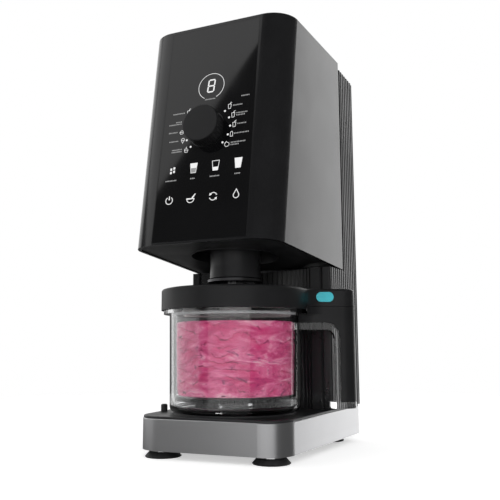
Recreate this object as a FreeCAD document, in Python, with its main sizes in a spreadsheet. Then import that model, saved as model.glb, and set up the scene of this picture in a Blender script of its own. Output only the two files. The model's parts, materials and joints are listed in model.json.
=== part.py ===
import FreeCAD, Part
import math
import os
import re

import Sketcher
from FreeCAD import Placement, Rotation, Vector

# Countertop ice cream maker: a base on four feet, a ribbed rear column and a head that carries
# the drive over a clear bowl with a handle. Millimetres, +Z up, +Y towards the rear column.
# Parts are drawn from the spindle axis and moved by origin_x and origin_y, so that the frame's
# origin is the middle of the assembly's footprint, on the floor.

DRIVING = {
    "origin_x": -11.594,
    "origin_y": -33.4,
    # plan of the housing: both sides open out towards the rear
    "half_front": 72.1,
    "flare": 0.0578,
    "base_front": 63.0,
    "base_rear": 142.6,
    "base_low": 7.5,
    "band_high": 35.8,
    "deck_high": 38.0,
    "base_corner": 25.0,
    "rear_corner": 8.0,
    "band_wall": 2.0,
    # feet
    "foot_spread": 54.0,
    "foot_front_y": 42.0,
    "foot_rear_y": 121.0,
    "foot_radius": 17.0,
    "foot_top_radius": 13.0,
    "stud_radius": 3.0,
    # head
    "head_front": 79.8,
    "head_low": 191.4,
    "head_high": 412.8,
    "head_rear": 98.4,
    "lean": 0.1608,
    "rake": 0.0578,
    "head_corner": 26.0,
    "head_wall": 2.8,
    # column
    "column_front": 57.2,
    "column_high": 407.5,
    "column_inset": 0.6,
    "column_wall": 2.6,
    "recess_radius": 82.0,
    "rib_pitch": 6.0,
    "rib_groove": 2.3,
    # bowl
    "bowl_low": 39.5,
    "bowl_high": 134.3,
    "bowl_foot_radius": 62.6,
    "bowl_rim_radius": 63.7,
    "bowl_flange": 69.3,
    "bowl_wall": 2.5,
    "spigot_radius": 12.9,
    # lid and handle
    "lid_low": 134.8,
    "lid_high": 154.8,
    "lid_radius": 71.7,
    "lid_wall": 2.5,
    "handle_turn": 23.0,
    "handle_reach": 116.0,
    "handle_half": 13.0,
    "handle_low": 42.0,
    "handle_high": 137.7,
    "button_reach": 86.5,
    "button_height": 147.0,
    "button_length": 16.6,
    "button_tall": 9.4,
    "arch_thick": 4.6,
    "arch_half": 9.0,
    "arm_blend": 20.0,
    "cover_blend": 18.0,
    # spindle, gears and feed
    "spindle_hex": 8.5,
    "gear_module": 1.5,
    "gear_teeth": 62,
    "pinion_teeth": 14,
    "motor_radius": 36.0,
    "feed_x": 38.0,
    # front panel
    "panel_half": 46.8,
    "panel_thick": 1.5,
    "dial_height": 110.4,
    "dial_radius": 18.0,
    "dial_depth": 14.5,
}

doc = FreeCAD.newDocument("IceCreamMaker")
dims = doc.addObject("Spreadsheet::Sheet", "dims")
for row, (alias, value) in enumerate(DRIVING.items(), start=1):
    dims.set("A%d" % row, alias)
    dims.set("B%d" % row, str(value))
    dims.setAlias("B%d" % row, alias)
doc.recompute()

published = []


# ---------------------------------------------------------------- expressions and placing

def formula(text):
    """The text with every driving name turned into a reference to its cell."""
    return re.sub(r"[a-z][a-z_]+", lambda word: "dims." + word.group() if word.group() in DRIVING
                  else word.group(), str(text))


def number(text):
    """The value that the text has now."""
    return float(dims.evalExpression(formula(text)))


def bind(thing, prop, text):
    thing.setExpression(prop, formula(text))


def place(thing, x=0, y=0, z=0, axis=None, angle=0):
    """Put a solid at a point, turned about an axis, with the point bound to the sheet."""
    turn = Rotation(Vector(*axis), angle) if axis else Rotation()
    thing.Placement = Placement(Vector(number(x), number(y), number(z)), turn)
    for letter, text in zip("xyz", (x, y, z)):
        bind(thing, "Placement.Base." + letter, text)
    return thing


ALONG_Y = ((1, 0, 0), -90)


def publish(label, *members, mode="group", base=(0, 0, 0), axis=None, angle=0):
    """Name a sub-part and put it in the common frame. Members stay separate or are fused."""
    if len(members) == 1 and members[0].TypeId in ("Part::Cut", "Part::MultiFuse",
                                                   "PartDesign::Body", "Part::Fillet"):
        part = members[0]
    elif mode == "group" or len(members) == 1:
        part = doc.addObject("Part::Compound", "group")
        part.Links = list(members)
    else:
        part = fuse(*members)
    part.Label = label
    x, y, z = base
    place(part, "origin_x+(%s)" % x, "origin_y+(%s)" % y, z, axis, angle)
    published.append(part)
    return part


# ---------------------------------------------------------------- primitives and booleans

def cylinder(radius, low, high, x=0, y=0, lie=None):
    """A cylinder between two levels, or lying along lie from the level low at (x, y)."""
    solid = doc.addObject("Part::Cylinder", "cylinder")
    bind(solid, "Radius", radius)
    if lie:
        bind(solid, "Height", high)
        return place(solid, x, y, low, *lie)
    bind(solid, "Height", "(%s)-(%s)" % (high, low))
    return place(solid, x, y, low)


def cone(low_radius, high_radius, low, high, x=0, y=0):
    solid = doc.addObject("Part::Cone", "cone")
    bind(solid, "Radius1", low_radius)
    bind(solid, "Radius2", high_radius)
    bind(solid, "Height", "(%s)-(%s)" % (high, low))
    return place(solid, x, y, low)


def block(x, y, z):
    """A box from three (low, high) pairs."""
    solid = doc.addObject("Part::Box", "box")
    for prop, (low, high) in zip(("Length", "Width", "Height"), (x, y, z)):
        bind(solid, prop, "(%s)-(%s)" % (high, low))
    return place(solid, x[0], y[0], z[0])


def hexagon(radius, low, high, x=0, y=0):
    solid = doc.addObject("Part::Prism", "hexagon")
    solid.Polygon = 6
    bind(solid, "Circumradius", radius)
    bind(solid, "Height", "(%s)-(%s)" % (high, low))
    return place(solid, x, y, low)


def fuse(*members):
    if len(members) == 1:
        return members[0]
    whole = doc.addObject("Part::MultiFuse", "fused")
    whole.Shapes = list(members)
    return whole


def common(first, second):
    shared = doc.addObject("Part::MultiCommon", "shared")
    shared.Shapes = [first, second]
    return shared


def cut(base, *tools):
    whole = doc.addObject("Part::Cut", "cut")
    whole.Base = base
    whole.Tool = tools[0] if len(tools) == 1 else fuse(*tools)
    return whole


def tube(outer, inner, low, high, x=0, y=0):
    return cut(cylinder(outer, low, high, x, y),
               cylinder(inner, "(%s)-1" % low, "(%s)+1" % high, x, y))


def round_edges(solid, radius, test):
    """Part fillet on the edges whose two ends pass the test."""
    doc.recompute()
    chosen = [(index, number(radius), number(radius))
              for index, edge in enumerate(solid.Shape.Edges, start=1)
              if all(test(vertex.Point) for vertex in edge.Vertexes)]
    rounded = doc.addObject("Part::Fillet", "rounded")
    rounded.Base = solid
    rounded.Edges = chosen
    return rounded


def pill(first, last, half, low, high):
    """A bar along +X from first to last with its far end rounded, half wide each side."""
    return fuse(block((first, "(%s)-(%s)" % (last, half)), ("-(%s)" % half, half), (low, high)),
                cylinder(half, low, high, "(%s)-(%s)" % (last, half)))


# ---------------------------------------------------------------- sketched bodies

def origin_plane(body, role):
    return next(item for item in body.Origin.OriginFeatures if item.Role == role)


def new_sketch(body, role, outline, offset=0):
    """A closed outline of (u, v) texts, every corner pinned to the sheet."""
    sketch = body.newObject("Sketcher::SketchObject", "outline")
    sketch.AttachmentSupport = [(origin_plane(body, role), "")]
    sketch.MapMode = "FlatFace"
    bind(sketch, "AttachmentOffset.Base.z", offset)
    corners = [Vector(number(u), number(v), 0) for u, v in outline]
    count = len(corners)
    for index in range(count):
        sketch.addGeometry(Part.LineSegment(corners[index], corners[(index + 1) % count]), False)
    for index in range(count):
        sketch.addConstraint(Sketcher.Constraint("Coincident", index, 2, (index + 1) % count, 1))
    for index, (u, v) in enumerate(outline):
        pin(sketch, index, "DistanceX", u, -2)
        pin(sketch, index, "DistanceY", v, -1)
    return sketch


def pin(sketch, line, kind, text, zero_axis):
    """Hold a line's first end at a signed distance from the sketch's origin."""
    value = number(text)
    if abs(value) < 1e-9:
        sketch.addConstraint(Sketcher.Constraint("PointOnObject", line, 1, zero_axis))
        return
    if value > 0:
        index = sketch.addConstraint(Sketcher.Constraint(kind, -1, 1, line, 1, value))
        bind(sketch, "Constraints[%d]" % index, text)
    else:
        index = sketch.addConstraint(Sketcher.Constraint(kind, line, 1, -1, 1, -value))
        bind(sketch, "Constraints[%d]" % index, "-(%s)" % text)


def new_body():
    return doc.addObject("PartDesign::Body", "body")


def pad(body, sketch, length):
    feature = body.newObject("PartDesign::Pad", "pad")
    feature.Profile = sketch
    bind(feature, "Length", length)
    sketch.Visibility = False
    return feature


def round_body(body, radius, test):
    """PartDesign fillet on the edges of the tip whose two ends pass the test."""
    doc.recompute()
    tip = body.Tip
    names = ["Edge%d" % index for index, edge in enumerate(tip.Shape.Edges, start=1)
             if len(edge.Vertexes) > 0 and all(test(vertex.Point) for vertex in edge.Vertexes)]
    feature = body.newObject("PartDesign::Fillet", "fillet")
    feature.Base = (tip, names)
    bind(feature, "Radius", radius)
    return feature


def turned(profile, rounds=()):
    """A body turned about Z from (radius, level) corners, with its rounded corners."""
    body = new_body()
    sketch = new_sketch(body, "XZ_Plane", profile)
    feature = body.newObject("PartDesign::Revolution", "turned")
    feature.Profile = sketch
    feature.ReferenceAxis = (sketch, ["V_Axis"])
    feature.Angle = 360.0
    for radius, (at_radius, at_level) in rounds:
        r, level = number(at_radius), number(at_level)
        round_body(body, radius, lambda point, r=r, level=level:
                   abs(math.hypot(point.x, point.y) - r) < 0.01 and abs(point.z - level) < 0.01)
    return body


def half_width(y, inset=0):
    """Half the housing's width at a distance behind the head's lowest front edge."""
    return "half_front+flare*((%s)+head_front)-(%s)" % (y, inset)


def plan_block(front, rear, inset, low, high, front_round, rear_round, lip=0):
    """A block with the housing's flared plan, between two levels."""
    body = new_body()
    near, far = "(%s)+(%s)" % (front, inset), "(%s)-(%s)" % (rear, inset)
    outline = [("-(%s)" % half_width(near, inset), near), (half_width(near, inset), near),
               (half_width(far, inset), far), ("-(%s)" % half_width(far, inset), far)]
    pad(body, new_sketch(body, "XY_Plane", outline, low), "(%s)-(%s)" % (high, low))
    middle = (number(front) + number(rear)) / 2
    for radius, test in ((front_round, lambda p: p.y < middle), (rear_round, lambda p: p.y > middle)):
        if number(radius) > 0.01:
            round_upright(body, radius, test)
    if number(lip) > 0:
        top = number(high)
        round_body(body, lip, lambda p: abs(p.z - top) < 0.01)
    return body


def round_upright(body, radius, test):
    """Round the upright edges of a body's tip on one side of it."""
    doc.recompute()
    tip = body.Tip
    names = []
    for index, edge in enumerate(tip.Shape.Edges, start=1):
        ends = [vertex.Point for vertex in edge.Vertexes]
        upright = len(ends) == 2 and abs(ends[0].z - ends[1].z) > 0.7 * edge.Length
        if upright and all(test(point) for point in ends):
            names.append("Edge%d" % index)
    feature = body.newObject("PartDesign::Fillet", "corners")
    feature.Base = (tip, names)
    bind(feature, "Radius", radius)
    return feature


def head_block(inset, raised, high, top_raised=None, rounded=True):
    """The head's block: leaning front, raked underside, flared sides and round front corners.

    raised lifts its underside, parallel to the head's own. high is its level top, or with
    top_raised its top is parallel to the underside as well.
    """
    body = new_body()
    low_y = "-head_front+lean*(%s)+1.013*(%s)" % (raised, inset)
    rear_y = "head_rear-(%s)" % inset
    rear_low = "head_low-rake*(head_front+head_rear)+(%s)" % raised
    if top_raised is None:
        top_y = "-head_front+lean*((%s)-head_low)+1.013*(%s)" % (high, inset)
        top_front, top_rear = high, high
    else:
        top_y = "-head_front+lean*(%s)+1.013*(%s)" % (top_raised, inset)
        top_front = "head_low+(%s)" % top_raised
        top_rear = "head_low-rake*(head_front+head_rear)+(%s)" % top_raised
    side = [(low_y, "head_low+(%s)" % raised), (top_y, top_front), (rear_y, top_rear),
            (rear_y, rear_low)]
    pad(body, new_sketch(body, "YZ_Plane", side, "-half_front-20"), "2*(half_front+20)")
    flank = [(half_width("-head_front-10", inset), "-head_front-10"), ("half_front+40", "-head_front-10"),
             ("half_front+40", "head_rear+10"), (half_width("head_rear+10", inset), "head_rear+10")]
    for sign in ("", "-"):
        outline = [("%s(%s)" % (sign, u), v) for u, v in flank]
        sketch = new_sketch(body, "XY_Plane", outline, "head_low-60")
        feature = body.newObject("PartDesign::Pocket", "flank")
        feature.Profile = sketch
        feature.Reversed = True
        bind(feature, "Length", "head_high")
        sketch.Visibility = False
    if rounded:
        round_upright(body, "head_corner-(%s)" % inset, lambda p: p.y < number("-head_front/4"))
        round_upright(body, "4.2-0.8*(%s)" % inset, lambda p: p.y > number("head_rear/2"))
    return body


# ---------------------------------------------------------------- base

def make_base():
    band = cut(plan_block("-base_front", "base_rear", 0, "base_low", "band_high",
                          "base_corner", "rear_corner", 0.8),
               plan_block("-base_front", "base_rear", "band_wall", "base_low-1", "band_high+1",
                          "base_corner-band_wall", "rear_corner-band_wall"))
    publish("base_band", band)

    frame_slot = block((-43, 43), (79, 97), ("band_high-6", "deck_high+1"))
    deck = cut(fuse(plan_block("-base_front", "base_rear", 0.6, "band_high+0.05", "deck_high",
                               "base_corner-0.6", "rear_corner-0.6", 1.0),
                    plan_block("-base_front", "base_rear", "band_wall+0.3", "band_high-4",
                               "band_high+0.1", "base_corner-band_wall-0.3",
                               "rear_corner-band_wall-0.3")), frame_slot)
    publish("base_deck", deck)

    foot_places = [(x, y) for y in ("-foot_front_y", "foot_rear_y")
                   for x in ("-foot_spread", "foot_spread")]
    floor_plate = fuse(plan_block("-base_front", "base_rear", "band_wall+0.3", "base_low+0.6",
                                  "base_low+3.2", "base_corner-band_wall-0.3",
                                  "rear_corner-band_wall-0.3"),
                       *[cylinder(8, "base_low+3", "base_low+20", x, y) for x, y in foot_places])
    publish("base_bottom_plate", cut(floor_plate, *[cylinder("stud_radius+0.1", 0, 60, x, y)
                                                    for x, y in foot_places]))

    names = ["foot_front_left", "foot_front_right", "foot_rear_left", "foot_rear_right"]
    for name, (x, y) in zip(names, foot_places):
        body = turned([(0, 0), ("foot_radius-0.8", 0), ("foot_radius", 0.8),
                       ("foot_top_radius", 5.2), (0, 5.2)])
        publish(name, body, base=(x, y, 0))
    studs = [fuse(cylinder("stud_radius", 5.25, 24, x, y),
                  cylinder("foot_top_radius-2", 5.25, "base_low+0.55", x, y))
             for x, y in foot_places]
    publish("foot_studs", *studs)

    seat = turned([(0, "deck_high+0.05"), (59, "deck_high+0.05"), (59, "bowl_low-0.1"),
                   ("spigot_radius", "bowl_low-0.1"), ("spigot_radius", "bowl_low+4.4"),
                   (0, "bowl_low+4.4")])
    publish("bowl_seat", seat)
    publish("stop_peg", turned([(0, "deck_high+0.05"), (3.2, "deck_high+0.05"),
                                (3.2, "deck_high+6"), (2.2, "deck_high+7"), (0, "deck_high+7")]),
            base=(-70.5, -14, 0))
    screws = []
    for x, y in ((-60, -12), (60, -12), (-64, 90), (64, 90)):
        screws.append(fuse(cylinder(3.4, "base_low+0.3", "base_low+0.55", x, y),
                           cylinder(1.6, "base_low+0.2", "base_low+0.5", x, y)))
    publish("base_screws", *screws)


# ---------------------------------------------------------------- rear column

def column_block(front, rear, low, high, inset):
    return plan_block(front, rear, inset, low, high, 2.0, 0)


def rib_grooves():
    """Square bars on edge that cut upright V grooves into the recess and the outer flanks."""
    bars = []

    def bar(x, y, angle):
        size = doc.addObject("Part::Box", "groove")
        bind(size, "Length", "rib_groove")
        bind(size, "Width", "rib_groove")
        bind(size, "Height", "column_high")
        turn = Rotation(Vector(0, 0, 1), math.degrees(angle) + 45)
        half = number("rib_groove") / 2
        corner = Vector(x, y, number("deck_high-2")) - turn.multVec(Vector(half, half, 0))
        size.Placement = Placement(corner, turn)
        bind(size, "Placement.Base.z", "deck_high-2")
        bars.append(size)

    radius = number("recess_radius")
    edge = math.asin(number("column_front") / radius)
    step = number("rib_pitch") / radius
    count = int((math.pi / 2 - edge) / step)
    for index in range(-count, count + 1):
        angle = math.pi / 2 + index * step
        bar(radius * math.cos(angle), radius * math.sin(angle), angle)
    flare_angle = math.atan(number("flare"))
    front, rear = number("column_front") + 5, number("base_rear") - 6
    for index in range(int((rear - front) / number("rib_pitch")) + 1):
        y = front + index * number("rib_pitch")
        x = number(half_width(y, "column_inset"))
        bar(x, y, -flare_angle)
        bar(-x, y, math.pi + flare_angle)
    strip = (number("recess_radius*0.72") + number(half_width("column_front"))) / 2
    for sign in (-1, 1):
        bar(sign * strip, number("column_front+column_inset"), math.pi / 2)
    return bars


def make_column():
    outer = fuse(column_block("column_front", "base_rear-3", "deck_high+0.1",
                              "head_low-rake*(head_front+head_rear)-0.4", "column_inset"),
                 column_block("head_rear+0.2", "base_rear-3", "deck_high+5", "column_high",
                              "column_inset"))
    hollow = fuse(column_block("column_front+2", "base_rear+6", "deck_high-1",
                               "head_low-rake*(head_front+head_rear)+5", "column_wall"),
                  column_block("head_rear+2", "base_rear+6", "deck_high+4",
                               "column_high-3", "column_wall"))
    bay = cylinder("recess_radius", 0, "head_low+10")
    inner_bay = cylinder("recess_radius+2.6", 0, "head_low+10")
    slope = block((-120, 120), (0, 120), (0, 20))
    place(slope, 0, "head_rear", "column_high-0.4", (1, 0, 0), -3.2)
    slope.Placement.Base.x = -120
    bind(slope, "Placement.Base.x", -120)
    shell = cut(outer, cut(hollow, inner_bay), bay, slope, *rib_grooves())
    publish("column_shell", shell)

    cover = plan_block("base_rear-2.8", "base_rear", 0.2, "deck_high+0.2", "column_high-4", 0, 2.0)
    slots = [block((-48, 48), ("base_rear-6", "base_rear+2"), (level, level + 4))
             for level in list(range(80, 148, 10)) + list(range(300, 368, 10))]
    gland_hole = cylinder(6.1, 54, 12, 40, "base_rear-6", ALONG_Y)
    holes = [cylinder(2.1, level, 12, x, "base_rear-6", ALONG_Y)
             for level in (64, 220, 388) for x in (-66, 66)]
    publish("back_cover", cut(cover, gland_hole, *(slots + holes)))
    screws = [fuse(cylinder(2.0, level, 10, x, "base_rear-8.6", ALONG_Y),
                   cylinder(3.6, level, 1.3, x, "base_rear+0.05", ALONG_Y))
              for level in (64, 220, 388) for x in (-66, 66)]
    publish("back_cover_screws", *screws)
    gland = cut(fuse(cylinder(6.0, 54, 9, 40, "base_rear-5", ALONG_Y),
                     cylinder(8.5, 54, 3.4, 40, "base_rear+0.1", ALONG_Y)),
                cylinder(3.6, 54, 30, 40, "base_rear-12", ALONG_Y))
    publish("cord_gland", gland)

    frame = fuse(block((-40, 40), (86, 89), ("base_low+3.3", "head_low+7.4")),
                 block((-40, -37), (86, 94), ("base_low+3.3", "head_low+7.4")),
                 block((37, 40), (86, 94), ("base_low+3.3", "head_low+7.4")))
    publish("column_frame", frame)
    board = fuse(block((-34, 34), (106, 107.6), (62, 172)),
                 block((-26, 2), (107.5, 126), (70, 102)),
                 block((8, 28), (107.5, 121), (140, 164)),
                 cylinder(8, 122, 22, 18, 107.5, ALONG_Y),
                 cylinder(6, 128, 18, -20, 107.5, ALONG_Y),
                 cylinder(6, 148, 18, -20, 107.5, ALONG_Y))
    publish("power_board", board)


# ---------------------------------------------------------------- head

def on_panel(solid):
    """Wrap solids drawn on the upright front plane so that they lean with the head's front."""
    leaning = doc.addObject("Part::Compound", "leaning")
    leaning.Links = [solid]
    return place(leaning, 0, "-head_front", "head_low", (1, 0, 0), LEAN_TURN)


LEAN_TURN = -math.degrees(math.atan(number("lean")))
PANEL_BASE = (0, "-head_front", "head_low")


def publish_on_panel(label, *members, mode="fuse"):
    publish(label, *members, mode=mode, base=PANEL_BASE, axis=(1, 0, 0), angle=LEAN_TURN)


def make_head():
    shell = cut(head_block(0, 0, "head_high"), head_block("head_wall", -8, "head_high+5"))
    sill = block(("-panel_half-3", "panel_half+3"), (1.75, 3.6), (5, 218))
    panel_seat = block(("-panel_half-0.15", "panel_half+0.15"), (-6, 1.6), (2.35, 221.15))
    window = block((-16, 16), (1, 8), (139, 172))
    dial_hole = cylinder(5.2, "dial_height", 12, 0, -2, ALONG_Y)
    shell = cut(fuse(shell, on_panel(sill)), on_panel(panel_seat), on_panel(window),
                on_panel(dial_hole), block((-42, 42), (90, 110), (196, 260)))
    publish("head_shell", shell)
    publish("head_top_cover", cut(head_block("head_wall+0.25", 200, "head_high-0.5"),
                                  block((-100, 100), (-100, 120), (300, "head_high-3.5"))))

    plate = head_block("head_wall+0.25", 0.8, 0, 3.3)
    cup = cut(cylinder(45, "head_low-20", "head_low+6.4"),
              cylinder(43, "head_low-25", "head_low+4.2"),
              cylinder(25.3, "head_low-25", "head_low+10"), head_block(-12, -40, 0, 0.8, rounded=False))
    holes = [block((-43, 43), (79, 97), (170, 200)), cylinder(44, 170, 200)]
    publish("head_bottom_cover", fuse(cut(plate, *holes), cup))

    glass = cut(block(("-panel_half", "panel_half"), (0, "panel_thick"), (2.5, 221)),
                cylinder(4.2, "dial_height", 10, 0, -3, ALONG_Y))
    publish_on_panel("front_panel", glass)
    publish_on_panel("display_module", block((-15, 15), (3.9, 7.4), (140, 171)))
    publish_on_panel("control_board", cut(block((-40, 40), (8.2, 9.8), (22, 196)),
                                          cylinder(8.5, "dial_height", 20, 0, 0, ALONG_Y)))
    encoder = cut(cylinder(8.2, "dial_height", 6.5, 0, 4.2, ALONG_Y),
                  cylinder(3.4, "dial_height", 20, 0, 0, ALONG_Y))
    publish_on_panel("dial_encoder", encoder)
    ring = cut(cylinder("dial_radius+0.6", "dial_height", 0.9, 0, -0.95, ALONG_Y),
               cylinder(4.2, "dial_height", 10, 0, -5, ALONG_Y))
    publish_on_panel("dial_ring", ring)

    knob = cylinder("dial_radius", "dial_height", "dial_depth-1.4", 0, "-dial_depth", ALONG_Y)
    rim = number("dial_depth")
    knob = round_edges(knob, 0.9, lambda p: abs(p.y + rim) < 0.01)
    grips = []
    for index in range(36):
        angle = 2 * math.pi * index / 36
        reach = number("dial_radius") + 0.45
        grip = cylinder(0.9, "dial_height", 30, 0, "3-dial_depth", ALONG_Y)
        bind(grip, "Placement.Base.x", "(dial_radius+0.45)*cos(%f)" % math.degrees(angle))
        bind(grip, "Placement.Base.z", "dial_height+(dial_radius+0.45)*sin(%f)" % math.degrees(angle))
        grip.Placement.Base = Vector(reach * math.cos(angle), number("3-dial_depth"),
                                     number("dial_height") + reach * math.sin(angle))
        grips.append(grip)
    bore = cylinder(3.05, "dial_height", 12, 0, "2.5-dial_depth", ALONG_Y)
    publish_on_panel("dial_knob", cut(knob, bore, *grips))
    publish_on_panel("dial_shaft", cylinder(3.0, "dial_height", "dial_depth+6", 0, "2.6-dial_depth",
                                            ALONG_Y))

    publish("drive_collar", turned([(21, "head_low-25.4"), (25, "head_low-25.4"), (24.6, "head_low-14"),
                                    (24.9, "head_low+7"), (30, "head_low+7"), (30, "head_low+7.5"),
                                    (21, "head_low+7.5")]))
    publish("collar_ring", turned([(20, "head_low-29"), (27, "head_low-29"), (27, "head_low-26.6"),
                                   (26, "head_low-25.5"), (20, "head_low-25.5")]))


# ---------------------------------------------------------------- drive

def gear_blank(teeth, low, high):
    """A spur gear with straight-sided teeth, as one tooth repeated round a root cylinder."""
    body = new_body()
    pitch = "gear_module*%s/2" % teeth
    root = "(%s)-1.3*gear_module" % pitch
    tip = "(%s)+0.9*gear_module" % pitch
    sketch = body.newObject("Sketcher::SketchObject", "root")
    sketch.AttachmentSupport = [(origin_plane(body, "XY_Plane"), "")]
    sketch.MapMode = "FlatFace"
    bind(sketch, "AttachmentOffset.Base.z", low)
    sketch.addGeometry(Part.Circle(Vector(), Vector(0, 0, 1), number(root)), False)
    sketch.addConstraint(Sketcher.Constraint("Coincident", 0, 3, -1, 1))
    index = sketch.addConstraint(Sketcher.Constraint("Radius", 0, number(root)))
    bind(sketch, "Constraints[%d]" % index, root)
    pad(body, sketch, "(%s)-(%s)" % (high, low))
    doc.recompute()
    wide, narrow = "gear_module*0.95", "gear_module*0.36"
    tooth = [("(%s)-0.5" % root, "-(%s)" % wide), (tip, "-(%s)" % narrow),
             (tip, narrow), ("(%s)-0.5" % root, wide)]
    feature = pad(body, new_sketch(body, "XY_Plane", tooth, low), "(%s)-(%s)" % (high, low))
    pattern = body.newObject("PartDesign::PolarPattern", "teeth")
    pattern.Originals = [feature]
    pattern.Axis = (sketch, ["N_Axis"])
    pattern.Angle = 360
    bind(pattern, "Occurrences", teeth)
    body.Tip = pattern
    return body


def make_drive():
    centre = "gear_module*(gear_teeth+pinion_teeth)/2"
    low, high = "head_low+14", "head_low+26"
    plate = (("-61", "61"), ("-46", "92"))
    lower = cut(block(plate[0], plate[1], ("head_low+7.6", "head_low+11.6")),
                cylinder(18.6, 0, 400))
    publish("gearbox_lower_plate", lower)
    upper = cut(block(plate[0], plate[1], ("head_low+28.4", "head_low+32.4")),
                cylinder(18.6, 0, 400), cylinder(11, 0, 400, 0, centre))
    publish("gearbox_upper_plate", upper)
    posts = [cylinder(4, "head_low+11.65", "head_low+28.35", x, y)
             for x in (-55, 55) for y in (-39, 85)]
    publish("gearbox_spacers", *posts)
    publish("gear_bearings", tube(18.5, 12.1, "head_low+7.7", "head_low+11.5"),
            tube(18.5, 12.1, "head_low+28.5", "head_low+32.3"))

    hex_bore = hexagon("spindle_hex+0.1", 0, 400)
    wheel = fuse(gear_blank("gear_teeth", low, high),
                 cylinder(12, "head_low+8", "head_low+32"),
                 cylinder(15, "head_low+11.9", "head_low+28.1"))
    publish("output_gear", cut(wheel, hex_bore))
    # the pinion stands half a tooth round, so that a gap of it faces the wheel's tooth on +Y
    wheel_phase = (90.0 / (360.0 / DRIVING["gear_teeth"])) % 1
    turn = 270 - (0.5 - wheel_phase) * 360.0 / DRIVING["pinion_teeth"]
    pinion = cut(gear_blank("pinion_teeth", "head_low+13", "head_low+27"), cylinder(4.0, 0, 400))
    publish("drive_pinion", pinion, base=(0, centre, 0), axis=(0, 0, 1), angle=turn)

    can = cut(cylinder("motor_radius", "head_low+32.5", "head_low+118", 0, centre),
              cylinder("motor_radius-3", "head_low+36", "head_low+114.5", 0, centre),
              cylinder(4.6, 0, 400, 0, centre))
    vents = [block((-4, 4), ("%s+20" % centre, "%s+50" % centre), ("head_low+50", "head_low+100"))]
    publish("motor_can", cut(can, *vents))
    publish("motor_winding", tube("motor_radius-3.4", 25.5, "head_low+44", "head_low+106", 0, centre))
    rotor = fuse(cylinder(24, "head_low+48", "head_low+102", 0, centre),
                 cylinder(4, "head_low+12.5", "head_low+128", 0, centre))
    publish("motor_rotor", rotor)
    blades = []
    for index in range(9):
        blade = doc.addObject("Part::Box", "blade")
        blade.Length, blade.Width = 20.0, 1.6
        bind(blade, "Height", 8)
        spin = Rotation(Vector(0, 0, 1), 40 * index)
        start = spin.multVec(Vector(8, -0.8, 0))
        place(blade, start.x, "%s+(%f)" % (centre, start.y), "head_low+120", (0, 0, 1), 40 * index)
        blades.append(blade)
    fan = cut(fuse(cylinder(10, "head_low+119", "head_low+129", 0, centre), *blades),
              cylinder(4.02, 0, 400, 0, centre))
    publish("cooling_fan", fan)

    shaft = fuse(hexagon("spindle_hex", "lid_low+5.6", "head_low+102"),
                 cylinder(6.9, "head_low+101", "head_low+114"))
    publish("spindle_shaft", shaft)
    publish("spindle_bearing", tube(16.4, 7.0, "head_low+103", "head_low+111"))
    carriage = cut(block((-47, 47), (-22, 19), ("head_low+103", "head_low+111")),
                   cylinder(16.45, 0, 400), cylinder(9.05, 0, 400, "-feed_x"),
                   cylinder(5.3, 0, 400, "feed_x"))
    publish("carriage", carriage)
    nut = cut(fuse(cylinder(9, "head_low+103", "head_low+117", "-feed_x"),
                   cylinder(12, "head_low+111.05", "head_low+114", "-feed_x")),
              cylinder(5.3, 0, 500, "-feed_x"))
    publish("lead_nut", nut)
    screw = fuse(cylinder(5, "head_low+33", "head_low+154", "-feed_x"),
                 cylinder(3, "head_low+153", "head_low+164", "-feed_x"))
    publish("lead_screw", screw)
    publish("guide_rod", cylinder(5, "head_low+32.5", "head_low+154.5", "feed_x"))
    corners = [cylinder(4, "head_low+32.5", "head_low+155", x, y) for x in (-53, 53) for y in (-18, 14)]
    publish("frame_posts", *corners)
    bracket = cut(block((-58, 58), (-23, 19), ("head_low+155.05", "head_low+158")),
                  cylinder(3.4, 0, 500, "-feed_x"))
    publish("top_bracket", bracket)
    feed = cut(fuse(cylinder(15, "head_low+158.05", "head_low+190", "-feed_x"),
                    block(("-feed_x-19", "-feed_x+19"), (-17, 17), ("head_low+158.05", "head_low+161"))),
               cylinder(3.3, 0, "head_low+170", "-feed_x"))
    publish("feed_motor", feed)


# ---------------------------------------------------------------- bowl, lid and handle

def turned_to_handle(solid):
    """Wrap a solid drawn along +X so that it points where the handle points."""
    aimed = doc.addObject("Part::Compound", "aimed")
    aimed.Links = [solid]
    place(aimed, 0, 0, 0, (0, 0, 1), number("handle_turn"))
    bind(aimed, "Placement.Rotation.Angle", "handle_turn")
    return aimed


def publish_at_handle(label, *members, mode="fuse"):
    publish(label, *members, mode=mode, axis=(0, 0, 1), angle=number("handle_turn"))


def hook_profile(first, last, low, high, corner, half):
    """A block in the handle's plane with its upper outer edge rounded."""
    body = new_body()
    outline = [(first, low), (last, low), (last, high), (first, high)]
    sketch = new_sketch(body, "XZ_Plane", outline, "-(%s)" % half)
    pad(body, sketch, "2*(%s)" % half)
    far, top = number(last), number(high)
    round_body(body, corner, lambda p: abs(p.x - far) < 0.01 and abs(p.z - top) < 0.01)
    return body


def cover_root(inner, low, high):
    """The cover's root: it stands off the radius inner and opens out to both sides of the handle."""
    side = number("handle_half+cover_blend")
    centre = math.sqrt(number("(%s)+cover_blend" % inner) ** 2 - side ** 2)
    full = block(("(%s)-9" % inner, centre), ("-handle_half-9", "handle_half+9"), (low, high))
    return cut(full, cylinder(inner, "(%s)-1" % low, "(%s)+1" % high),
               cylinder("cover_blend", "(%s)-1" % low, "(%s)+1" % high, centre, side),
               cylinder("cover_blend", "(%s)-1" % low, "(%s)+1" % high, centre, "-(%f)" % side))


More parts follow.
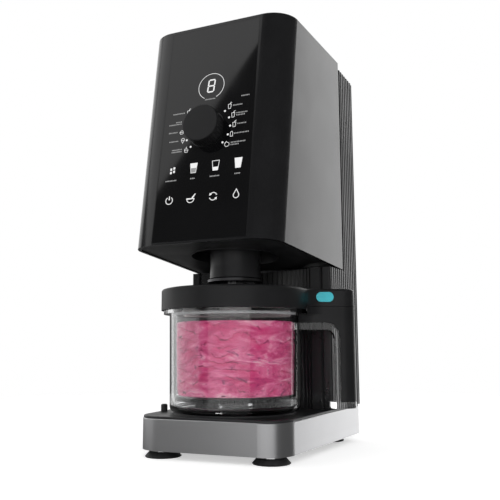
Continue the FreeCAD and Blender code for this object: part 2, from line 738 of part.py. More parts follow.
def make_bowl():
    wall = "bowl_wall"
    vessel = turned([(0, "bowl_low+5.1"), ("spigot_radius+0.4", "bowl_low+5.1"),
                     ("spigot_radius+0.4", "bowl_low"), ("bowl_foot_radius", "bowl_low"),
                     ("bowl_rim_radius", "bowl_high-3.2"), ("bowl_flange", "bowl_high-3.2"),
                     ("bowl_flange", "bowl_high"), ("bowl_rim_radius-%s" % wall, "bowl_high"),
                     ("bowl_foot_radius-%s" % wall, "bowl_low+4"),
                     ("spigot_radius+3.6", "bowl_low+4"), ("spigot_radius+3.6", "bowl_low+8.5"),
                     (0, "bowl_low+8.5")],
                    [(5, ("bowl_foot_radius", "bowl_low")),
                     (3, ("bowl_foot_radius-%s" % wall, "bowl_low+4"))])
    grip_outer = "handle_reach-15.6"
    arch = cut(hook_profile(62.4, grip_outer, "handle_low", "handle_high-14.8", 14, "arch_half"),
               hook_profile(50, "%s-arch_thick" % grip_outer, "handle_low-9", "handle_high-21.7", 8, 20))
    foot = pill("%s-arch_thick" % grip_outer, "handle_reach", "handle_half-0.2", "handle_low",
                "handle_low+5.9")
    root = block((62.4, 72), ("-arch_half", "arch_half"), ("handle_high-16", "bowl_high-3"))
    publish("outer_bowl", fuse(vessel, turned_to_handle(fuse(arch, foot, root))))

    cover = cut(pill(72.2, "handle_reach", "handle_half", "handle_low+6", "handle_high"),
                hook_profile(50, "%s+0.1" % grip_outer, "handle_low-9", "handle_high-14.7", 14.1, 30))
    cover = cut(fuse(cover, cover_root("bowl_rim_radius+0.9", "handle_high-14.7", "bowl_high-3.6"),
                     cover_root("lid_radius+0.5", "bowl_high-3.7", "handle_high")),
                block((50, 72.2), ("-arch_half-0.2", "arch_half+0.2"), ("handle_high-20", "handle_high+1")))
    hollow = fuse(pill(74.6, "handle_reach-2.3", "handle_half-2.3", "handle_high-12.2", "handle_high-2.2"),
                  pill("%s+2.5" % grip_outer, "handle_reach-2.3", "handle_half-2.3", "handle_low+8.3",
                       "handle_high-12"))
    hollow = cut(hollow, hook_profile(50, "%s+2.6" % grip_outer, "handle_low-9", "handle_high-12.1",
                                      16.6, 30))
    hook_slot = block((78, 96), (-0.8, 8.2), ("handle_high-4", "handle_high+2"))
    publish_at_handle("handle_cover", cut(cover, hollow, hook_slot))

    lid_block = fuse(cylinder("lid_radius", "lid_low", "lid_high"),
                     turned_to_handle(pill(40, "handle_reach", "handle_half", "lid_low+3.2", "lid_high")))
    doc.recompute()
    inner = number("lid_radius")
    low, high = number("lid_low+3.2"), number("lid_high")
    names = []
    for index, edge in enumerate(lid_block.Shape.Edges, start=1):
        ends = [vertex.Point for vertex in edge.Vertexes]
        if len(ends) == 2 and abs(edge.Length - (high - low)) < 0.1 and all(
                abs(math.hypot(p.x, p.y) - inner) < 0.1 for p in ends):
            names.append((index, number("arm_blend"), number("arm_blend")))
    blended = doc.addObject("Part::Fillet", "blended")
    blended.Base = lid_block
    blended.Edges = names
    softened = round_edges(blended, 2.2, lambda p: abs(p.z - high) < 0.01)
    cavity = fuse(cut(cylinder("lid_radius-lid_wall", "lid_low-3", "lid_high-lid_wall"),
                      tube(60.6, 58.8, "lid_low-3.2", "lid_high"),
                      tube(20, 17, "lid_low+11", "lid_high+5")),
                  cylinder(17, 0, 400),
                  turned_to_handle(pill(75, "handle_reach-2.5", "handle_half-2.5", 0,
                                        "lid_high-lid_wall")))
    button_hole = pill_across("button_length+0.5", "button_tall+0.5", "-handle_half-6", "8-handle_half")
    hub = tube(25, 17, "lid_high-0.1", "lid_high+2.2")
    lid = cut(fuse(softened, hub), cavity, turned_to_handle(button_hole))
    publish("lid", lid)
    publish("lid_seal", tube(60.3, 59.0, "lid_low-5.4", "lid_low-3.1"))

    publish("inner_tub", turned([(0, "bowl_low+11"), (56.5, "bowl_low+11"), (56.5, "bowl_low+4.1"),
                                 (57.6, "bowl_low+4.1"), (59.0, "bowl_high-6.2"),
                                 (60.4, "bowl_high-6.2"), (60.4, "bowl_high-5"),
                                 (57.8, "bowl_high-5"), (57.0, "bowl_low+13.6"), (0, "bowl_low+13.6")],
                                [(2.4, (57.0, "bowl_low+13.6"))]))
    publish("ice_cream", cone(56.0, 57.3, "bowl_low+15.4", "bowl_low+84"))

    button = fuse(pill_across("button_length", "button_tall", "-handle_half-0.9", "3.2-handle_half"),
                  pill_across("button_length+4", "button_tall+1", "3-handle_half", "4.2-handle_half"))
    publish_at_handle("release_button", button)
    spring = cut(cylinder(3, "button_height", 5.2, "button_reach", "4.25-handle_half", ALONG_Y),
                 cylinder(2.2, "button_height", 30, "button_reach", "-handle_half", ALONG_Y))
    publish_at_handle("button_spring", spring)
    hook = fuse(block(("button_reach-5", "button_reach+5"), (2.4, 4.6), ("handle_high-9", "lid_high-4")),
                block(("button_reach-5", "button_reach+5"), (-3, 2.5), ("handle_high-9", "handle_high-6")))
    publish_at_handle("latch_hook", hook)


def pill_across(length, tall, first, last):
    """A pill-shaped bar that runs along Y at the button's place, long along X."""
    half, span = "(%s)/2" % tall, "((%s)-(%s))/2" % (length, tall)
    middle = block(("button_reach-%s" % span, "button_reach+%s" % span), (first, last),
                   ("button_height-%s" % half, "button_height+%s" % half))
    ends = []
    for sign in "-+":
        ends.append(cylinder(half, "button_height", "(%s)-(%s)" % (last, first),
                             "button_reach%s%s" % (sign, span), first, ALONG_Y))
    return fuse(middle, *ends)


def make_paddle():
    hub = cut(cylinder(15.4, "bowl_low+89.4", "lid_high-0.6"),
              hexagon("spindle_hex+0.05", "lid_low+5.5", 400))
    blades = []
    for index in range(3):
        blade = block((10, 56), (-1.6, 1.6), ("bowl_low+88.6", "bowl_low+94.6"))
        turn = Rotation(Vector(0, 0, 1), 120 * index) * Rotation(Vector(1, 0, 0), 28)
        blade.Placement.Rotation = turn
        level = number("bowl_low+88.8")
        start = turn.multVec(Vector(10, -1.6, 0))
        blade.Placement = Placement(Vector(start.x, start.y, level), turn)
        bind(blade, "Placement.Base.x", start.x)
        bind(blade, "Placement.Base.y", start.y)
        bind(blade, "Placement.Base.z", "bowl_low+88.8+(%f)" % start.z)
        blades.append(blade)
    trimmed = common(fuse(*blades), cylinder(55.8, "bowl_low+85", "bowl_low+100"))
    publish("paddle", fuse(hub, trimmed))


make_base()
make_column()
make_head()
make_drive()
make_bowl()
make_paddle()
doc.recompute()

failed = [item.Name + " " + item.Label for item in doc.Objects
          if "Invalid" in item.State or "Error" in item.State]
failed += [part.Label for part in published if part.Shape.isNull() or not part.Shape.isValid()]
if failed:
    raise RuntimeError("these did not build: " + ", ".join(failed))

os.makedirs("parts", exist_ok=True)
bounds = FreeCAD.BoundBox()
for part in published:
    part.Shape.exportStep("parts/%s.step" % part.Label)
    bounds.add(part.Shape.BoundBox)
print(len(published), "sub-parts", [round(value, 2) for value in (
    bounds.XMin, bounds.XMax, bounds.YMin, bounds.YMax, bounds.ZMin, bounds.ZMax)])
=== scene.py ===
"""An upright ice cream maker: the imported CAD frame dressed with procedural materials, printed panel marks
and a churned block of berry ice cream, in a plain white studio."""

import json
import math

import bmesh
import bpy
from mathutils import Matrix, Vector, noise


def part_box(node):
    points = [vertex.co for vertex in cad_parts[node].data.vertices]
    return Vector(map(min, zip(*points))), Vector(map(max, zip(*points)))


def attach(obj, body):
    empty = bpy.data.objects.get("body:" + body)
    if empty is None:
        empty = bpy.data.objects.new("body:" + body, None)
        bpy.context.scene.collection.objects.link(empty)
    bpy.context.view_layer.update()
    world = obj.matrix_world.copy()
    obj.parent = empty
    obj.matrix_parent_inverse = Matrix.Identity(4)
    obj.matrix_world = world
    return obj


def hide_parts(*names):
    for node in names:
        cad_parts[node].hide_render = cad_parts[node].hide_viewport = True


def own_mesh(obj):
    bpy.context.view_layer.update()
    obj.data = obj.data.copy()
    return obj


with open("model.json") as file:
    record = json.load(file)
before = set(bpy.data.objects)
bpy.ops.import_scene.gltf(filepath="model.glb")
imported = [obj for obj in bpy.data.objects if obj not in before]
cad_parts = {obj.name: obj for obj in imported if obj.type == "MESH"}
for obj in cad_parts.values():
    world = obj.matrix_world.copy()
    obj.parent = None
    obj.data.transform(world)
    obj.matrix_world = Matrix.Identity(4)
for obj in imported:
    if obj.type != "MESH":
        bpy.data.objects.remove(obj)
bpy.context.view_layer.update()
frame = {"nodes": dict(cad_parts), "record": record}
NODES = frame["nodes"]
MM = 0.001


# ---------------------------------------------------------------- shader helpers


class Shader:
    """A material around one Principled node, with short calls for the nodes that feed it."""

    def __init__(self, name, **settings):
        self.material = bpy.data.materials.new(name)
        self.material.use_nodes = True
        self.tree = self.material.node_tree
        self.surface = self.tree.nodes["Principled BSDF"]
        self.place = self.node("ShaderNodeTexCoord").outputs["Object"]
        for socket, value in settings.items():
            self.surface.inputs[socket.replace("_", " ").title().replace("Ior", "IOR")].default_value = value

    def node(self, kind, **properties):
        made = self.tree.nodes.new(kind)
        for name, value in properties.items():
            setattr(made, name, value)
        return made

    def link(self, output, target):
        self.tree.links.new(output, target)

    def stretched(self, scale):
        """Object coordinates multiplied axis by axis."""
        mapping = self.node("ShaderNodeMapping")
        mapping.inputs["Scale"].default_value = scale
        self.link(self.place, mapping.inputs["Vector"])
        return mapping.outputs["Vector"]

    def noise(self, scale, detail=3.0, roughness=0.55, distortion=0.0, vector=None):
        made = self.node("ShaderNodeTexNoise")
        made.inputs["Scale"].default_value = scale
        made.inputs["Detail"].default_value = detail
        made.inputs["Roughness"].default_value = roughness
        made.inputs["Distortion"].default_value = distortion
        self.link(vector or self.place, made.inputs["Vector"])
        return made.outputs["Fac"]

    def ramp(self, factor, *stops):
        made = self.node("ShaderNodeValToRGB")
        line = made.color_ramp
        while len(line.elements) < len(stops):
            line.elements.new(1.0)
        for element, (position, colour) in zip(line.elements, stops):
            element.position = position
            element.color = (*colour, 1.0)
        self.link(factor, made.inputs["Fac"])
        return made.outputs["Color"]

    def between(self, factor, low, high, start=0.3, end=0.7):
        made = self.node("ShaderNodeMapRange")
        for socket, value in (("From Min", start), ("From Max", end), ("To Min", low), ("To Max", high)):
            made.inputs[socket].default_value = value
        self.link(factor, made.inputs["Value"])
        return made.outputs["Result"]

    def mix(self, factor, first, second):
        made = self.node("ShaderNodeMix", data_type="RGBA")
        for index, value in ((0, factor), (6, first), (7, second)):
            if isinstance(value, bpy.types.NodeSocket):
                self.link(value, made.inputs[index])
            else:
                made.inputs[index].default_value = (*value, 1.0) if index else value
        return made.outputs[2]

    def bump(self, height, depth, strength=1.0, after=None):
        made = self.node("ShaderNodeBump")
        made.inputs["Distance"].default_value = depth
        made.inputs["Strength"].default_value = strength
        self.link(height, made.inputs["Height"])
        if after is not None:
            self.link(after, made.inputs["Normal"])
        return made.outputs["Normal"]

    def colour(self, output):
        self.link(output, self.surface.inputs["Base Color"])

    def rough(self, output):
        self.link(output, self.surface.inputs["Roughness"])

    def normal(self, output):
        self.link(output, self.surface.inputs["Normal"])


def shade(colour, factor):
    return tuple(min(1.0, channel * factor) for channel in colour)


def moulded(name, colour, rough, grain, depth, **settings):
    """Moulded plastic: a slight drift in tone, soft handling marks in the gloss, and a fine grain."""
    made = Shader(name, **settings)
    drift = made.noise(35.0, detail=4.0)
    made.colour(made.ramp(drift, (0.35, shade(colour, 0.88)), (0.65, shade(colour, 1.12))))
    made.rough(made.between(made.noise(22.0, detail=6.0, distortion=0.6), *rough))
    made.normal(made.bump(made.noise(1.0 / grain, detail=2.0), depth))
    return made.material


def brushed(name, colour, rough, along, depth=0.02 * MM, contrast=0.09, **settings):
    """Brushed metal: hair lines along one axis, a slow change of tone, and gloss that follows the lines."""
    made = Shader(name, metallic=1.0, **settings)
    hair = made.noise(1.0, detail=3.0, roughness=0.6, vector=made.stretched(along))
    cloud = made.noise(14.0, detail=3.0)
    lines = made.ramp(hair, (0.2, shade(colour, 1 - contrast)), (0.8, shade(colour, 1 + contrast)))
    drift = made.ramp(cloud, (0.3, shade(colour, 0.95)), (0.7, shade(colour, 1.05)))
    made.colour(made.mix(0.5, lines, drift))
    made.rough(made.between(hair, *rough))
    made.normal(made.bump(hair, depth, 0.35))
    return made.material


def clear(name, tint, ior):
    """Clear moulded plastic: faint flow waves in the wall and a breath of handling haze."""
    made = Shader(name, base_color=(*tint, 1.0), transmission_weight=1.0, ior=ior)
    made.rough(made.between(made.noise(30.0, detail=5.0), 0.0, 0.03))
    made.normal(made.bump(made.noise(28.0, detail=1.5), 0.12 * MM, 0.35))
    return made.material


def rubber():
    made = Shader("rubber_black")
    dust = made.noise(180.0, detail=4.0)
    made.colour(made.ramp(dust, (0.3, (0.008, 0.008, 0.009)), (0.75, (0.02, 0.02, 0.021))))
    made.rough(made.between(made.noise(60.0), 0.5, 0.72))
    made.normal(made.bump(made.noise(2600.0, detail=2.0), 0.04 * MM, 0.6))
    return made.material


def glossy_panel():
    """Black acrylic: a mirror finish with only faint wiping marks in it."""
    made = Shader("panel_gloss", ior=1.5)
    made.colour(made.ramp(made.noise(20.0), (0.3, (0.0015, 0.0015, 0.0018)), (0.7, (0.0025, 0.0025, 0.0028))))
    wipes = made.noise(1.0, detail=5.0, vector=made.stretched((30.0, 30.0, 12.0)))
    made.rough(made.between(wipes, 0.03, 0.075))
    made.normal(made.bump(made.noise(9.0, detail=1.0), 0.03 * MM, 0.2))
    return made.material


def copper_wire():
    made = Shader("copper", metallic=1.0)
    turns = made.noise(1.0, detail=1.0, vector=made.stretched((60.0, 60.0, 1500.0)))
    # darker where the same noise sinks the wire: painted shade in the grooves between the turns
    made.colour(made.ramp(turns, (0.3, (0.32, 0.12, 0.05)), (0.7, (0.72, 0.34, 0.17))))
    made.rough(made.between(turns, 0.25, 0.45))
    made.normal(made.bump(turns, 0.3 * MM, 0.8))
    return made.material


def circuit():
    made = Shader("circuit_green")
    cells = made.node("ShaderNodeTexVoronoi", feature="DISTANCE_TO_EDGE")
    cells.inputs["Scale"].default_value = 260.0
    made.link(made.place, cells.inputs["Vector"])
    tracks = made.between(cells.outputs["Distance"], 0.0, 1.0, 0.03, 0.1)
    made.colour(made.mix(tracks, (0.08, 0.3, 0.1), (0.012, 0.1, 0.035)))
    made.rough(made.between(made.noise(80.0), 0.3, 0.5))
    made.normal(made.bump(tracks, 0.05 * MM, 0.4))
    return made.material


BERRY_DARK = (0.42, 0.035, 0.15)
BERRY_MID = (0.62, 0.075, 0.22)
BERRY_LIGHT = (0.80, 0.19, 0.37)
BERRY_PALE = (0.94, 0.52, 0.64)
# a hotter magenta: random tone in the marbling, and painted shade in the deeper folds
BERRY_HOT = (0.64, 0.03, 0.17)
BERRY_FRUIT = (0.20, 0.012, 0.09)
# painted shade, laid into the creases of the folded side
BERRY_SHADE = (0.14, 0.008, 0.05)


def churned_berry():
    """Berry ice cream: pale streaks and dark fruit drawn out sideways, frosty crystals, and painted shade in
    the folds and their creases.
    """
    made = Shader("berry_ice", subsurface_weight=0.12, subsurface_scale=0.003, ior=1.33)
    made.surface.inputs["Subsurface Radius"].default_value = (1.0, 0.35, 0.5)
    streak = made.noise(1.0, 7.0, 0.62, distortion=1.4, vector=made.stretched((26.0, 26.0, 75.0)))
    broad = made.noise(1.0, 3.0, distortion=0.8, vector=made.stretched((11.0, 11.0, 30.0)))
    fruit = made.noise(1.0, 4.0, 0.7, distortion=1.0, vector=made.stretched((60.0, 60.0, 130.0)))
    speck = made.noise(420.0, detail=3.0, roughness=0.7)
    base = made.ramp(streak, (0.32, BERRY_DARK), (0.44, BERRY_MID), (0.55, BERRY_LIGHT), (0.68, BERRY_PALE))
    base = made.mix(made.between(broad, 0.0, 0.55, 0.42, 0.7), base, BERRY_HOT)
    base = made.mix(made.between(fruit, 0.0, 0.85, 0.60, 0.68), base, BERRY_FRUIT)
    base = made.mix(made.between(speck, 0.0, 0.35, 0.6, 0.75), base, BERRY_PALE)
    depth = made.node("ShaderNodeAttribute", attribute_name="fold").outputs["Fac"]
    crease_shade = made.node("ShaderNodeAttribute", attribute_name="crease_shade").outputs["Fac"]
    # deeper folds are painted a hotter magenta: painted shade in the hollows under the wall
    base = made.mix(made.between(depth, 0.0, 0.6, 0.05, 0.6), base, BERRY_HOT)
    # painted shade: the sharp lips and nicks of the folds are painted dark
    made.colour(made.mix(made.between(crease_shade, 0.0, 0.8, 0.1, 1.0), base, BERRY_SHADE))
    made.rough(made.between(made.noise(160.0, detail=4.0), 0.38, 0.62))
    frost = made.noise(1.0, 6.0, 0.7, vector=made.stretched((220.0, 220.0, 420.0)))
    grain = made.bump(frost, 1.0 * MM, 0.9)
    made.normal(made.bump(streak, 2.2 * MM, 0.9, after=grain))
    return made.material


def lit_mark(name, glow):
    """Backlit print: white with a slightly uneven glow."""
    made = Shader(name, roughness=0.5)
    made.surface.inputs["Emission Color"].default_value = (1.0, 1.0, 1.0, 1.0)
    made.surface.inputs["Emission Strength"].default_value = glow
    made.colour(made.ramp(made.noise(300.0), (0.3, (0.10, 0.10, 0.10)), (0.7, (0.13, 0.13, 0.13))))
    return made.material


def make_materials():
    """One material for each material slot of the record, by the slot's name."""
    fine, coarse = 0.35 * MM, 0.9 * MM
    metals = {
        "band_steel": ((0.60, 0.60, 0.61), (0.31, 0.35), (5.0, 5.0, 1200.0), 0.001 * MM, 0.012),
        "bright_steel": ((0.74, 0.74, 0.75), (0.12, 0.22), (300.0, 300.0, 900.0)),
        "aluminium_plate": ((0.72, 0.73, 0.75), (0.28, 0.42), (500.0, 8.0, 500.0)),
        "dark_metal": ((0.12, 0.12, 0.125), (0.3, 0.45), (60.0, 60.0, 700.0)),
        "brass_nut": ((0.72, 0.53, 0.24), (0.2, 0.34), (90.0, 90.0, 900.0)),
    }
    plastics = {
        "housing_black": ((0.006, 0.006, 0.0065), (0.16, 0.22), fine, 0.004 * MM),
        "column_black": ((0.008, 0.008, 0.0085), (0.26, 0.36), fine, 0.012 * MM),
        "deck_black": ((0.012, 0.012, 0.013), (0.3, 0.42), coarse, 0.02 * MM),
        "lid_black": ((0.007, 0.007, 0.0075), (0.36, 0.46), fine, 0.012 * MM),
        "button_teal": ((0.012, 0.29, 0.34), (0.3, 0.42), fine, 0.012 * MM),
        "gear_nylon": ((0.72, 0.70, 0.62), (0.35, 0.5), coarse, 0.02 * MM),
        "seal_grey": ((0.42, 0.42, 0.43), (0.5, 0.65), fine, 0.02 * MM),
        "paddle_white": ((0.80, 0.80, 0.78), (0.32, 0.45), fine, 0.02 * MM),
    }
    optics = {
        "housing_black": {"ior": 1.5},
        "column_black": {"ior": 1.5},
        "deck_black": {"ior": 1.48},
        "lid_black": {"specular_ior_level": 0.34},
    }
    made = {slot: brushed(slot, *finish) for slot, finish in metals.items()}
    made.update((slot, moulded(slot, *finish, **optics.get(slot, {}))) for slot, finish in plastics.items())
    made.update({
        "panel_gloss": glossy_panel(),
        "rubber_black": rubber(),
        "clear_plastic": clear("clear_plastic", (0.985, 0.99, 0.99), 1.49),
        "tub_plastic": clear("tub_plastic", (0.985, 0.985, 0.99), 1.13),
        "berry_ice": churned_berry(),
        "copper": copper_wire(),
        "circuit_green": circuit(),
    })
    return made


def dress_nodes(materials):
    """Every CAD node takes the procedural material of its own slot in the record."""
    for piece in frame["record"]["subparts"]:
        node = NODES[piece["node"]]
        for slot in node.material_slots:
            slot.material = materials[piece["material_slot"]]
    # clear walls cast no shadow, so the lights reach the ice cream behind them
    for name in ("outer_bowl", "inner_tub"):
        NODES[name].visible_shadow = False


# ---------------------------------------------------------------- new pieces


def new_object(name, bm, material, body):
    mesh = bpy.data.meshes.new(name)
    bm.to_mesh(mesh)
    bm.free()
    made = bpy.data.objects.new(name, mesh)
    bpy.context.scene.collection.objects.link(made)
    mesh.materials.append(material)
    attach(made, body)
    return made


# The panel's plane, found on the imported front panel: u runs to the right and v up the leaning face.
PANEL_LEAN = math.atan(0.1608)
PANEL_UP = Vector((0.0, math.sin(PANEL_LEAN), math.cos(PANEL_LEAN)))
PANEL_OUT = Vector((0.0, -math.cos(PANEL_LEAN), math.sin(PANEL_LEAN)))
PANEL_FOOT = 2.5
PRINT_SHIFT = 1.0

# Where the marks stand on that plane, in millimetres.
STROKE = 0.42
DIAL_V = 110.4
RING_V, RING_RADIUS = 155.2, 13.4
ROW_RIGHT = (131.0, 121.5, 111.5, 102.1, 92.2)
ROW_LEFT = (131.0, 120.9, 111.5, 102.1, 92.0)
DOT_RADIUS, DOT_CIRCLE = 1.0, 23.0
LINE_PITCH = 2.2
CUP_V, CUP_CAPTION_V, TOUCH_V = 72.3, 62.0, 42.3
COLUMNS = (-34.0, -11.3, 11.3, 34.0)


def on_circle(centre, radius, angle):
    return centre[0] + radius * math.cos(angle), centre[1] + radius * math.sin(angle)


class Pen:
    """Draws flat raised marks on the panel, in millimetres from the foot of the leaning face."""

    def __init__(self, proud):
        self.bm = bmesh.new()
        self.proud = proud
        points = [vertex.co for vertex in NODES["front_panel"].data.vertices]
        low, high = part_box("front_panel")
        face = max(point.dot(PANEL_OUT) for point in points)
        foot = min(point.dot(PANEL_UP) for point in points if point.dot(PANEL_OUT) > face - 0.2 * MM)
        self.origin = PANEL_OUT * face + PANEL_UP * (foot - PANEL_FOOT * MM)
        self.origin.x = (low.x + high.x) / 2

    def at(self, u, v, height):
        return self.origin + (Vector((u + PRINT_SHIFT, 0, 0)) + PANEL_UP * v + PANEL_OUT * height) * MM

    def shape(self, points):
        """A filled outline with its sides down to the glass."""
        top = [self.bm.verts.new(self.at(u, v, self.proud)) for u, v in points]
        foot = [self.bm.verts.new(self.at(u, v, 0.0)) for u, v in points]
        self.bm.faces.new(top)
        for k in range(len(points)):
            n = (k + 1) % len(points)
            self.bm.faces.new((top[k], foot[k], foot[n], top[n]))

    def line(self, points, width, closed=False):
        """A stroke of even width along the points, with mitred corners."""
        count = len(points)
        sides = []
        for k, (u, v) in enumerate(points):
            back = points[k - 1] if k or closed else points[k]
            ahead = points[(k + 1) % count] if k < count - 1 or closed else points[k]
            a, b = Vector((u - back[0], v - back[1])), Vector((ahead[0] - u, ahead[1] - v))
            a, b = (a or b).normalized(), (b or a).normalized()
            across = Vector((-(a + b).y, (a + b).x)).normalized()
            reach = width / 2 / max(0.5, across.dot(Vector((-a.y, a.x))))
            du, dv = across.x * reach, across.y * reach
            sides.append(((u + du, v + dv), (u - du, v - dv)))
        for k in range(count if closed else count - 1):
            (a, b), (c, d) = sides[k], sides[(k + 1) % count]
            self.shape([a, b, d, c])

    def arc(self, centre, radius, start, end, width, steps=24):
        angles = [math.radians(start + (end - start) * k / steps) for k in range(steps + 1)]
        self.line([on_circle(centre, radius, angle) for angle in angles], width)

    def disc(self, centre, radius, steps=18):
        self.shape([on_circle(centre, radius, math.tau * k / steps) for k in range(steps)])

    def bar(self, left, v, length, height=1.1):
        right, foot, top = left + length, v - height / 2, v + height / 2
        self.shape([(left, foot), (right, foot), (right, top), (left, top)])

    def caption(self, left, v, length):
        """A caption's stand-in: a row of small dashes."""
        count = max(2, round(length / 1.45))
        pitch = length / count
        for k in range(count):
            self.bar(left + pitch * k, v, pitch * 0.62, 1.15)

    def finish(self, name, material):
        bmesh.ops.recalc_face_normals(self.bm, faces=self.bm.faces)
        new_object(name, self.bm, material, "machine")


def cup_outline(u, v, height, top, foot):
    low, high = v - height / 2, v + height / 2
    return [(u - foot / 2, low), (u + foot / 2, low), (u + top / 2, high), (u - top / 2, high)]


def draw_tumbler(pen, u, v, size=4.4, straw=True):
    """A glass, with a straw that leans out of it."""
    pen.line(cup_outline(u, v - 0.5, size, size * 0.72, size * 0.5), STROKE, closed=True)
    if straw:
        pen.line([(u + 0.2, v + size * 0.4), (u + 1.1, v + size * 0.78), (u + 2.1, v + size * 0.8)], STROKE)


def draw_bottle(pen, u, v):
    pen.line([(u - 1.2, v - 2.6), (u + 1.2, v - 2.6), (u + 1.2, v + 0.8),
              (u + 0.6, v + 2.2), (u - 0.6, v + 2.2), (u - 1.2, v + 0.8)], STROKE, closed=True)


def draw_round_bowl(pen, u, v):
    """A round bowl with a peak of food in it."""
    pen.arc((u, v - 0.2), 2.3, 150, 390, STROKE)
    pen.line([(u - 1.9, v + 1.0), (u - 0.6, v + 2.7), (u + 0.3, v + 1.5), (u + 1.9, v + 1.0)], STROKE)


def draw_cone(pen, u, v):
    pen.line([(u - 1.6, v + 0.2), (u, v - 2.9), (u + 1.6, v + 0.2)], STROKE, closed=True)
    pen.arc((u, v + 0.6), 1.7, -10, 190, STROKE)


def draw_scoop_bowl(pen, u, v):
    pen.line([(u - 2.2, v - 0.6), (u + 2.2, v - 0.6), (u + 1.2, v - 2.4), (u - 1.2, v - 2.4)],
             STROKE, closed=True)
    pen.arc((u, v - 0.4), 1.5, 0, 180, STROKE)


def draw_swirl_cup(pen, u, v):
    pen.line(cup_outline(u, v - 1.5, 2.2, 3.8, 2.6), STROKE, closed=True)
    pen.line([(u - 1.9, v - 0.2), (u - 1.3, v + 1.0), (u + 0.9, v + 1.0),
              (u - 0.5, v + 2.1), (u + 0.2, v + 3.0)], STROKE)


def draw_digit(pen):
    """The figure 8 in seven segments, leaning a little to the right."""
    width, height, thick, slant = 6.4, 12.6, 1.35, 0.08

    def segment(a, b):
        (au, av), (bu, bv) = a, b
        run = Vector((bu - au, bv - av)).normalized()
        side = Vector((-run.y, run.x)) * thick / 2
        inset = thick * 0.46
        ends = [(au + run.x * inset, av + run.y * inset), (bu - run.x * inset, bv - run.y * inset)]
        tips = [(ends[0][0] - run.x * thick * 0.3, ends[0][1] - run.y * thick * 0.3),
                (ends[1][0] + run.x * thick * 0.3, ends[1][1] + run.y * thick * 0.3)]
        one_side = [(u + side.x, v + side.y) for u, v in ends]
        other_side = [(u - side.x, v - side.y) for u, v in ends]
        outline = [tips[0], *one_side, tips[1], *reversed(other_side)]
        pen.shape([(u + v * slant, v + RING_V + 0.4) for u, v in outline])

    left, right, low, high = -width / 2, width / 2, -height / 2, height / 2
    for v in (low, 0.0, high):
        segment((left, v), (right, v))
    for u in (left, right):
        segment((u, low), (u, 0.0))
        segment((u, 0.0), (u, high))


def draw_programmes(pen, bars):
    """Ten programme dots round the dial, each with a pictogram and a caption beside it."""
    for degrees in (44, 22, 0, -22, -44):
        for turn in (degrees, 180 - degrees):
            pen.disc(on_circle((0.0, DIAL_V), DOT_CIRCLE, math.radians(turn)), DOT_RADIUS)
    bars.caption(32.4, 139.6, 8.6)
    right = ((draw_tumbler, 21.1, 24.4, (10.0,)), (draw_tumbler, 25.3, 28.6, (11.3, 9.0)),
             (draw_tumbler, 27.1, 30.4, (9.2,)), (draw_bottle, 25.1, 27.6, (15.2,)),
             (draw_round_bowl, 21.1, 25.0, (15.0, 8.5)))
    for v, (draw, u, start, lengths) in zip(ROW_RIGHT, right):
        draw(pen, u, v)
        for k, length in enumerate(lengths):
            bars.caption(start, v + ((len(lengths) - 1) / 2 - k) * LINE_PITCH, length)
    left = ((draw_tumbler, -22.0, -25.8, (13.0,)), (draw_cone, -24.5, -28.3, (6.6, 13.8)),
            (draw_scoop_bowl, -27.6, -31.9, (9.8,)), (draw_cone, -25.6, -30.1, (10.0,)),
            (draw_swirl_cup, -20.9, -25.4, (11.0, 11.0)))
    for v, (draw, u, end, lengths) in zip(ROW_LEFT, left):
        draw(pen, u, v)
        for k, length in enumerate(lengths):
            bars.caption(end - length, v + ((len(lengths) - 1) / 2 - k) * LINE_PITCH, length)


def draw_cups(pen, fills, bars):
    """The lower row: mix-in pieces, and a cup for the top, the bottom and the whole tub."""
    blocks = COLUMNS[0]
    for k, u in enumerate((blocks - 2.0, blocks + 1.2)):
        for v in (CUP_V - 2.2, CUP_V + 1.2):
            pen.bar(u, v + 0.9 * k, 1.9, 2.3)
    for u in COLUMNS[1:]:
        pen.line(cup_outline(u, CUP_V, 9.4, 7.2, 4.8), 0.5, closed=True)
    top, bottom, whole = COLUMNS[1:]
    pen.shape(cup_outline(top, CUP_V + 2.3, 4.6, 7.0, 5.9))
    fills.shape(cup_outline(top, CUP_V - 2.3, 4.4, 5.7, 4.6))
    pen.shape(cup_outline(bottom, CUP_V - 3.0, 3.2, 5.4, 4.6))
    pen.shape(cup_outline(whole, CUP_V, 9.0, 6.9, 4.7))
    for u, length in zip(COLUMNS, (12.0, 5.0, 10.0, 6.0)):
        bars.caption(u - length / 2, CUP_CAPTION_V, length)


def draw_touch_keys(pen):
    """The bottom row: power, a bowl with its spoon, a pair of turning arrows and a drop."""
    power, bowl, turns, drop = COLUMNS
    stroke, arrow_radius, drop_radius = 0.72, 3.6, 2.7
    pen.arc((power, TOUCH_V), 3.5, 125, 415, stroke)
    pen.line([(power, TOUCH_V + 0.6), (power, TOUCH_V + 4.4)], stroke)
    pen.arc((bowl - 0.4, TOUCH_V - 0.2), 3.7, 180, 360, stroke)
    pen.line([(bowl - 4.5, TOUCH_V - 0.2), (bowl + 3.7, TOUCH_V - 0.2)], stroke)
    pen.line([(bowl + 1.2, TOUCH_V + 0.2), (bowl + 4.3, TOUCH_V + 4.4)], 0.85)
    for start in (200, 20):
        pen.arc((turns, TOUCH_V), arrow_radius, start, start + 125, stroke, steps=14)
        tip = math.radians(start + 125)
        centre = on_circle((turns, TOUCH_V), arrow_radius, tip)
        pen.shape([on_circle(centre, 1.6, tip + math.pi / 2 + k * math.tau / 3) for k in range(3)])
    outline = [(drop, TOUCH_V + 4.6)]
    for k in range(17):
        outline.append(on_circle((drop, TOUCH_V - 1.0), drop_radius, math.radians(20 - 220 * k / 16)))
    pen.line(outline, stroke, closed=True)


